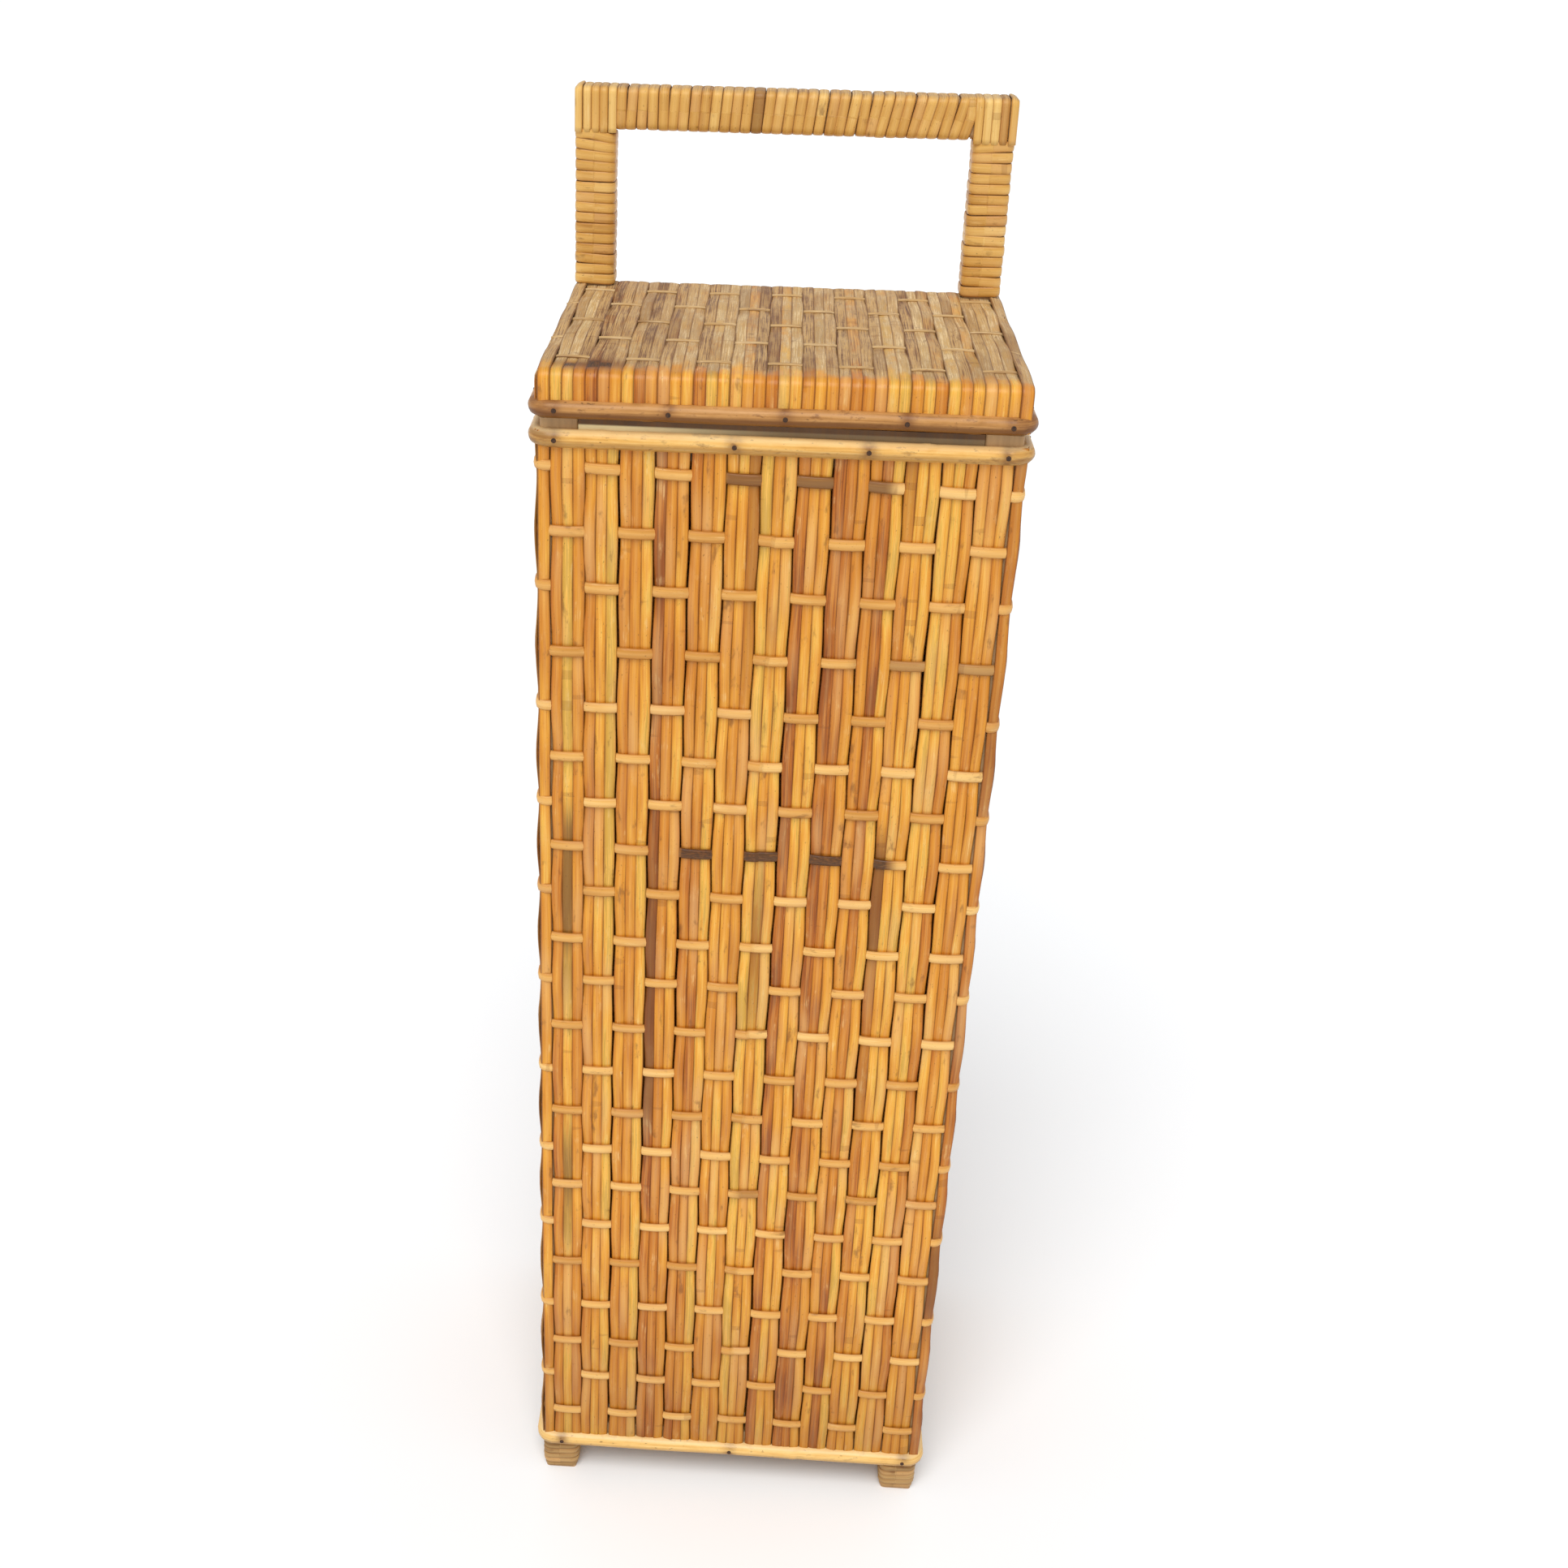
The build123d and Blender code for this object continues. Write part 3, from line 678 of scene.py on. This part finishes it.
def lid_strands():
    """Weaving strands across the lid's top."""
    rng = np.random.default_rng(22)
    bundle = Bundle()
    x = np.linspace(-HALF_X + 1.5, HALF_X - 1.5, 120)
    top = lid_high[2] - SKIN_DEPTH
    for row, y in enumerate(lid_rows()[1:-1], start=1):
        swing = np.cos(((x - 0.7) / GROUP + 7 + row) * math.pi)
        swing = np.sign(swing) * np.abs(swing) ** 0.45
        drop = np.clip((np.abs(x) - HALF_X + 7) / 6, 0, 1) * 1.5
        path = np.column_stack((x, y + wander(rng, x, 40, 0.8), top + 0.45 * swing - drop))
        outward = np.tile(UP, (len(x), 1))
        stain = 0.75 * np.exp(-(((x + 88) / 16) ** 2)) if row == 3 else 0.0
        bundle.add(path, outward, 3.1, 1.7, rng, STRAND, rng.uniform(0.5, 0.95), stain, 0.85)
    bundle.piece("strands_lid", weaver_cane, "lid", "lid_cane", ["lid_weave"])


def lid_side_strips():
    """Upright strips that close the lid's two sides."""
    rng = np.random.default_rng(23)
    for name, side in (("left", -1), ("right", 1)):
        bundle = Bundle()
        low, high = span(f"lid_side_{name}")
        count = round((high[1] - low[1]) / 6.05)
        z = np.linspace(low[2] + 0.4, high[2] + 1.2, 9)
        for y in low[1] + (np.arange(count) + 0.5) * (high[1] - low[1]) / count:
            tuck = np.clip((z - high[2] + 3) / 4, 0, 1) ** 2 * 1.6
            x = side * (HALF_X - 1.2 - tuck)
            path = np.column_stack((x, np.full(len(z), y) + rng.normal(0, 0.1), z))
            outward = np.tile((side, 0.0, 0.0), (len(z), 1)) + (0, rng.normal(0, 0.05), 0)
            bundle.add(path, outward, 5.9, STRIP_THICK, rng, tone=rng.beta(2.2, 1.8),
                       age=np.clip((z - high[2] + 6) / 8, 0, 0.8))
        bundle.piece(f"strips_lid_{name}", cane, "lid", "lid_cane", [f"lid_side_{name}"])


def floor_strips():
    """Woven floor inside the body."""
    rng = np.random.default_rng(24)
    bundle = Bundle()
    low, high = span("floor_mat")
    middle = (low[2] + high[2]) / 2
    post_low, _ = span("corner_post_back_right")
    y = np.linspace(low[1] + 0.5, high[1] - 0.5, 90)
    step = (GROUP - STRIP_GAP) / STRIPS
    for group in range(-7, 8):
        for strip in range(STRIPS):
            x = spread(group * GROUP, strip, step)
            if abs(x) > high[0] - 3:
                continue
            inside = np.abs(y) < (post_low[1] - 0.5 if abs(x) > post_low[0] - 3 else high[1])
            push = np.cos(y[inside] / 17.0 * math.pi / 2 + group * math.pi)
            path = np.column_stack((np.full(inside.sum(), x), y[inside], middle + 0.8 * push))
            bundle.add(path, np.tile(UP, (len(path), 1)), step, 1.5, rng, tone=rng.beta(2.4, 1.9))
    across = np.linspace(low[0] + 0.5, high[0] - 0.5, 120)
    for row in range(-5, 6):
        swing = -np.cos((across / GROUP + row) * math.pi)
        inside = np.abs(across) < (post_low[0] - 0.5 if abs(row) == 5 else high[0])
        path = np.column_stack((across, np.full(len(across), row * 17.0), middle + 0.8 * swing))[inside]
        bundle.add(path, np.tile(UP, (len(path), 1)), 4.4, 1.6, rng, STRAND)
    bundle.piece("strips_floor", cane, "hamper", "woven_cane", ["floor_mat"])


# ------------------------------------------------------------------------ rim poles
def pole_path(node, straight):
    """Centre line of a rim pole, bent round the front and the sides, or straight."""
    low, high = span(node)
    radius, z = (high[2] - low[2]) / 2, (low[2] + high[2]) / 2
    if straight:
        y = high[1] - radius
        x = np.arange(low[0], high[0] + 1, 2.0)
        return np.column_stack((x, np.full(len(x), y), np.full(len(x), z))), radius
    half_x, half_y = high[0] - radius, -low[1] - radius
    bend = 8.0
    run = np.arange(high[1], -half_y + bend, -2.0)
    quarter = np.linspace(0, math.pi / 2, 9)
    corner = np.column_stack((-half_x + bend * (1 - np.cos(quarter)),
                              -half_y + bend * (1 - np.sin(quarter))))
    front = np.arange(-half_x + bend + 2, half_x - bend - 1, 2.0)
    left = np.vstack((np.column_stack((np.full(len(run), -half_x), run)), corner))
    level = np.column_stack((front, np.full(len(front), -half_y)))
    flat = np.vstack((left, level, left[::-1] * (-1, 1)))
    return np.column_stack((flat, np.full(len(flat), z))), radius


def nail_places(node):
    """Middles of the nail heads along the front, from left to right."""
    nails = frame["nodes"][node]
    points = np.array([nails.matrix_world @ v.co for v in nails.data.vertices]) / MM
    x = np.sort(points[points[:, 1] < points[:, 1].min() + 0.2, 0])
    return [part.mean() for part in np.split(x, np.flatnonzero(np.diff(x) > 6) + 1)]


def rim_pole(node, material, body, slot, seed, nails=None, straight=False, stained=0.7):
    """Rattan pole with slight swellings at its knots and wrinkled bends."""
    rng = np.random.default_rng(seed)
    path, radius = pole_path(node, straight)
    steps = np.linalg.norm(np.diff(path, axis=0), axis=1)
    walk = np.concatenate(([0.0], np.cumsum(steps)))
    swell = 1 + wander(rng, walk, 35, 0.018)
    for knot in np.arange(rng.uniform(30, 120), walk[-1], 165):
        swell += 0.07 * np.exp(-(((walk - knot) / 2.4) ** 2))
        swell -= 0.03 * np.exp(-(((walk - knot - 5) / 3) ** 2))
    way = np.gradient(path, axis=0)
    way /= np.linalg.norm(way, axis=1)[:, None]
    bend = np.linalg.norm(np.gradient(way, axis=0), axis=1)
    bend = np.convolve(bend, np.ones(9) / 9, mode="same")
    wrinkled = np.clip(bend * 9, 0, 1)
    swell += wrinkled * 0.02 * np.sin(walk * 2.3)
    path = path + np.column_stack((np.zeros((len(path), 2)), wander(rng, walk, 50, 0.12)))
    outward = np.cross(way, UP)
    bundle = Bundle()
    stain = stained * wrinkled
    for x in nail_places(nails) if nails else ():
        near = np.hypot(path[:, 0] - x, path[:, 1] - path[:, 1].min())
        stain = np.maximum(stain, 0.8 * np.exp(-((near / 4.0) ** 2)))
    bundle.add(path, outward, 2 * radius * swell, 2 * radius * swell, rng, POLE, stain=stain)
    bundle.piece(f"rattan_{node}", material, body, slot, [node])


# ------------------------------------------------------------------------- wrappings
def wound(bundle, ring, place, start, end, pitch, thick, rng, lean=None, grey=None,
          tuck=0.0, mark=None):
    """Turns of cane round a squared bar; place maps ring points and height to space."""
    turns = max(1, round((end - start) / pitch))
    step = (end - start) / turns
    samples = 56
    for turn in range(turns):
        walk = np.arange(samples) * ring.length / samples
        flat, out = ring.at(walk)
        height = np.full(samples, start + (turn + 0.5) * step) + rng.normal(0, 0.14)
        share = (turn + 0.5) / turns
        slope = (lean(share) if lean else 0.05) + rng.normal(0, 0.02)
        height = height + flat[:, 0] * slope
        height = np.clip(height, start + 0.4 * step, end - 0.4 * step)
        proud = rng.normal(0, 0.10) - (tuck if turn == 0 else 0.0)
        path = place(flat + out * proud, height)
        outward = place(flat + out, height) - place(flat, height)
        age = grey(outward) if grey else 0.0
        size = step * rng.uniform(1.0, 1.07)
        tone = rng.normal(0.5, 0.16)
        spoiled = mark and abs(height.mean() - mark) < 0.9 * step
        bundle.add(path, outward, size, thick, rng, tone=tone, age=age, closed=True,
                   stain=0.55 if spoiled else 0.0)


def upright(centre):
    """Ring lying flat, stacked upwards."""
    def place(flat, height):
        return np.column_stack((flat[:, 0] + centre[0], flat[:, 1] + centre[1], height))
    return place


def lying(centre):
    """Ring standing across X; its first axis points up."""
    def place(flat, height):
        return np.column_stack((height, centre[1] + flat[:, 1], centre[2] + flat[:, 0]))
    return place


def greyed(outward):
    """More worn where a face looks up."""
    return np.clip(outward[:, 2] - 0.35, 0, 1) * 0.9


def core_ring(node, a, b, thick, radius):
    """Ring half a strip outside a squared bar, across its axes a and b."""
    low, high = span(node)
    half = (high - low) / 2
    return Ring(half[a] + thick / 2, half[b] + thick / 2, radius), (low + high) / 2


def handle_legs():
    """Cane wound round both legs; the upper turns slope a little."""
    slopes = {"left": lambda t: -0.03 - 0.16 * max(0, t - 0.72) / 0.28,
              "right": lambda t: 0.01 + 0.14 * max(0, t - 0.9) / 0.1}
    for side, seed in (("left", 31), ("right", 32)):
        rng = np.random.default_rng(seed)
        ring, centre = core_ring(f"handle_leg_{side}", 0, 1, 1.7, 3.6)
        low, high = span(f"leg_wrap_{side}")
        bundle = Bundle()
        wound(bundle, ring, upright(centre), low[2] + 0.2, high[2] + 0.3, WRAP_PITCH, 1.9, rng,
              slopes[side])
        bundle.piece(f"turns_leg_{side}", wrap_cane, "lid", "wrap_cane", [f"leg_wrap_{side}"])


def handle_bar():
    """Cane wound round the top bar; the turns lean more towards the right end."""
    rng = np.random.default_rng(33)
    ring, centre = core_ring("handle_bar", 2, 1, 1.7, 3.6)
    low, high = span("bar_wrap")
    bundle = Bundle()
    wound(bundle, ring, lying(centre), low[0] - 0.2, high[0] + 0.2, WRAP_PITCH, 1.9, rng,
          lambda t: 0.03 + 0.24 * t ** 1.6, greyed, mark=-21.0)
    bundle.piece("turns_bar", wrap_cane, "lid", "wrap_cane", ["bar_wrap"])


def handle_corners():
    """Upright strips that cover both ends of the top bar."""
    for name, side, seed in (("left", -1, 34), ("right", 1, 35)):
        rng = np.random.default_rng(seed)
        bundle = Bundle()
        low, high = span(f"corner_wrap_{name}")
        front, back, top, bottom = low[1] + 1.0, high[1] - 1.0, high[2] - 1.0, low[2] - 1.2
        quarter = np.linspace(0, math.pi / 2, 6)
        r = 3.2
        arc = np.column_stack((front + r - r * np.cos(quarter), top - r + r * np.sin(quarter)))
        rise = np.linspace(bottom, top - r, 8)[:-1]
        up = np.column_stack((np.full(len(rise), front), rise))
        half = np.vstack((up, arc))
        other = half[::-1] * (-1, 1) + (front + back, 0)
        loop = np.vstack((half, other))
        way = np.gradient(loop, axis=0)
        way /= np.linalg.norm(way, axis=1)[:, None]
        out = np.column_stack((-way[:, 1], way[:, 0]))
        count = 5
        step = (high[0] - low[0]) / count
        for i in range(count):
            x = low[0] + (i + 0.5) * step
            outer = i == (0 if side < 0 else count - 1)
            path = np.column_stack((np.full(len(loop), x) + rng.normal(0, 0.1), loop))
            lean = side * (0.45 if outer else 0.0) + rng.normal(0, 0.03)
            outward = np.column_stack((np.full(len(loop), lean), out))
            bundle.add(path, outward, step * 1.02, 1.9, rng, tone=rng.beta(2.2, 1.8), age=greyed(outward))
        z = np.linspace(bottom, top - 1.6, 10)
        x = (low[0] + 1.0) if side < 0 else (high[0] - 1.0)
        for i in range(3):
            y = low[1] + 4.0 + (i + 0.5) * (high[1] - low[1] - 8.0) / 3
            path = np.column_stack((np.full(len(z), x), np.full(len(z), y), z))
            bundle.add(path, np.tile((side, 0.0, 0.0), (len(z), 1)), 5.2, 1.8, rng, tone=rng.beta(2.2, 1.8))
        bundle.piece(f"strips_corner_{name}", wrap_cane, "lid", "wrap_cane", [f"corner_wrap_{name}"])


def foot_turns():
    """Cane wound round the four feet."""
    for i, end in enumerate(("front", "back")):
        for j, side in enumerate(("left", "right")):
            rng = np.random.default_rng(41 + 2 * i + j)
            ring, centre = core_ring(f"corner_post_{end}_{side}", 0, 1, 2.0, 4.4)
            low, high = span(f"foot_wrap_{end}_{side}")
            bundle = Bundle()
            wound(bundle, ring, upright(centre), low[2] + 0.2, high[2] + 1.5, FOOT_PITCH, 2.2, rng,
                  tuck=1.1)
            bundle.piece(f"turns_foot_{end}_{side}", foot_cane, "hamper", "wrap_cane",
                         [f"foot_wrap_{end}_{side}"])


def hinge_loops():
    """Turns of cane round the hinge pole and the lid's back pole, bound in the middle."""
    poles = [np.array(span(n)).mean(0)[2] for n in ("hinge_pole", "lid_back_pole")]
    for side, seed in (("left", 51), ("right", 52)):
        rng = np.random.default_rng(seed)
        low, high = span(f"hinge_lashing_{side}")
        y = (low[1] + high[1]) / 2
        bundle = Bundle()
        around = np.linspace(0, math.pi, 12)
        count = 4
        step = (high[0] - low[0]) / count
        for i in range(count):
            r = 6.05 + rng.uniform(0, 0.12)
            upper = np.column_stack((y + r * np.cos(around), poles[1] + r * np.sin(around)))
            lower = np.column_stack((y - r * np.cos(around), poles[0] - r * np.sin(around)))
            loop = np.vstack((upper, lower))
            middle = np.array((y, (poles[0] + poles[1]) / 2))
            centre_z = np.clip(loop[:, 1], poles[0], poles[1])
            out = loop - np.column_stack((np.full(len(loop), middle[0]), centre_z))
            path = np.column_stack((np.full(len(loop), low[0] + (i + 0.5) * step), loop))
            outward = np.column_stack((np.zeros(len(loop)), out))
            bundle.add(path, outward, step * 0.98, 1.7, rng, tone=rng.beta(2.2, 1.8), closed=True)
        bundle.piece(f"loops_hinge_{side}", wrap_cane, "lid", "wrap_cane", [f"hinge_lashing_{side}"])


# ------------------------------------------------------------------------ all pieces
wall_strips()
wall_strands()
lid_strips()
lid_strands()
lid_side_strips()
floor_strips()
rim_pole("base_rim_pole", pale_pole, "hamper", "pale_pole", 61, "base_rim_nails", stained=0.1)
rim_pole("base_back_pole", pale_pole, "hamper", "pale_pole", 62, straight=True)
rim_pole("body_rim_pole", light_pole, "hamper", "pole_cane", 63, "body_rim_nails")
rim_pole("hinge_pole", light_pole, "hamper", "pole_cane", 64, straight=True)
rim_pole("lid_rim_pole", dark_pole, "lid", "dark_pole", 65, "lid_rim_nails")
rim_pole("lid_back_pole", dark_pole, "lid", "dark_pole", 66, straight=True)
handle_legs()
handle_bar()
handle_corners()
foot_turns()
hinge_loops()

CARRIED = {
    "frame_wood": frame_wood, "pale_wood": pale_wood,
    "dark_nail": nail_metal, "steel_screw": screw_metal,
}
slot_of = {part["node"]: part["material_slot"] for part in frame["record"]["subparts"]}
for name, node in frame["nodes"].items():
    material = CARRIED.get(slot_of[name])
    if material and not node.hide_render:
        node.data.materials.clear()
        node.data.materials.append(material)


# ------------------------------------------------------------------- floor and light
def stage():
    """Large pale floor."""
    mesh = bpy.data.meshes.new("floor")
    r = 30.0
    mesh.from_pydata([(-r, -r, 0), (r, -r, 0), (r, r, 0), (-r, r, 0)], [], [(0, 1, 2, 3)])
    floor = bpy.data.objects.new("floor", mesh)
    bpy.context.scene.collection.objects.link(floor)
    n = Nodes("floor_paper")
    n.shader.inputs["Base Color"].default_value = (0.945, 0.96, 0.975, 1)
    n.shader.inputs["Roughness"].default_value = 0.95
    n.shader.inputs["Specular IOR Level"].default_value = 0.0
    mesh.materials.append(n.material)


def sun(name, azimuth, elevation, strength, softness, colour):
    """Light from a direction: azimuth 0 is the front, 90 the right."""
    data = bpy.data.lights.new(name, "SUN")
    data.energy, data.angle, data.color = strength, math.radians(softness), colour
    lamp = bpy.data.objects.new(name, data)
    a, e = math.radians(azimuth), math.radians(elevation)
    back = Vector((math.sin(a) * math.cos(e), -math.cos(a) * math.cos(e), math.sin(e)))
    lamp.rotation_mode = "QUATERNION"
    lamp.rotation_quaternion = back.to_track_quat("Z", "Y")
    bpy.context.scene.collection.objects.link(lamp)


def sky(strength):
    """Even white surroundings."""
    world = bpy.data.worlds.new("studio")
    world.use_nodes = True
    back = world.node_tree.nodes["Background"]
    back.inputs["Color"].default_value = (1.0, 1.0, 1.0, 1)
    back.inputs["Strength"].default_value = strength
    bpy.context.scene.world = world


def camera():
    """Seen from in front and above, turned and rolled by a few degrees."""
    data = bpy.data.cameras.new("camera")
    data.sensor_width = 36.0
    data.lens = 44.50
    data.shift_x = 0.0810
    made = bpy.data.objects.new("camera", data)
    pitch, yaw, roll = math.radians(26.96), math.radians(-3.19), math.radians(1.32)
    ahead = Vector((math.sin(yaw) * math.cos(pitch), math.cos(yaw) * math.cos(pitch), -math.sin(pitch)))
    right = Vector((math.cos(yaw), -math.sin(yaw), 0.0))
    up = right.cross(ahead)
    right_rolled = right * math.cos(roll) + up * math.sin(roll)
    up_rolled = up * math.cos(roll) - right * math.sin(roll)
    made.location = (-0.0052, -HALF_Y * MM - 0.9558, walls_low[2] * MM + 0.9874)
    rows = (right_rolled, up_rolled, -ahead)
    made.rotation_mode = "QUATERNION"
    made.rotation_quaternion = Matrix(rows).transposed().to_quaternion()
    bpy.context.scene.collection.objects.link(made)
    bpy.context.scene.camera = made


stage()
sky(0.60)
sun("key", -10, 58, 1.88, 36, (1.0, 1.0, 1.0))
camera()
bpy.context.scene.view_settings.view_transform = "Standard"
